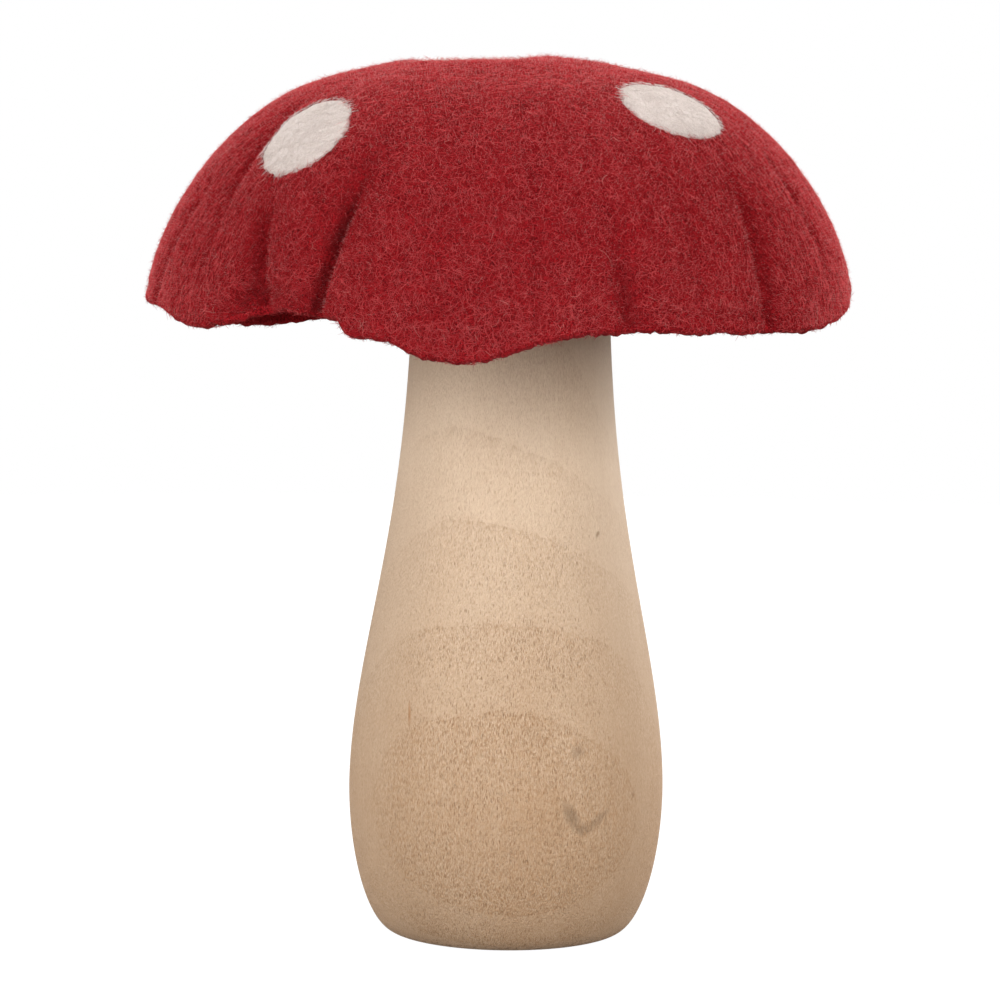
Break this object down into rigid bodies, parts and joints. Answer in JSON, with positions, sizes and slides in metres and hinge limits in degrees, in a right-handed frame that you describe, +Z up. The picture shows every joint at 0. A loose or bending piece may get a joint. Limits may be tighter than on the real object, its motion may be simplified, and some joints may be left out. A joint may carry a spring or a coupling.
{
  "type": "felt mushroom ornament",
  "caption": "Standing mushroom ornament: a hollow gathered felt cap with flush felt dots on a turned wooden stem with a flat foot.",
  "frame": {"origin": "centre of the stem's flat foot, on the surface that the ornament stands on", "axes": "+Z up along the stem's axis, -Y the front that the picture shows, +X to the right as seen from the front"},
  "size_m": [0.1491, 0.1492, 0.186],
  "materials": {
    "pale_wood": "matte",
    "hot_melt_glue": "satin",
    "red_felt": "matte",
    "off_white_felt": "matte"
  },
  "bodies": {
    "root": {"stem": "pale_wood", "glue_pad": "hot_melt_glue", "cap": "red_felt", "dot_crown": "off_white_felt", "dot_front_left": "off_white_felt", "dot_front_right": "off_white_felt", "dot_back_left": "off_white_felt", "dot_back_right": "off_white_felt"}
  },
  "joints": []
}
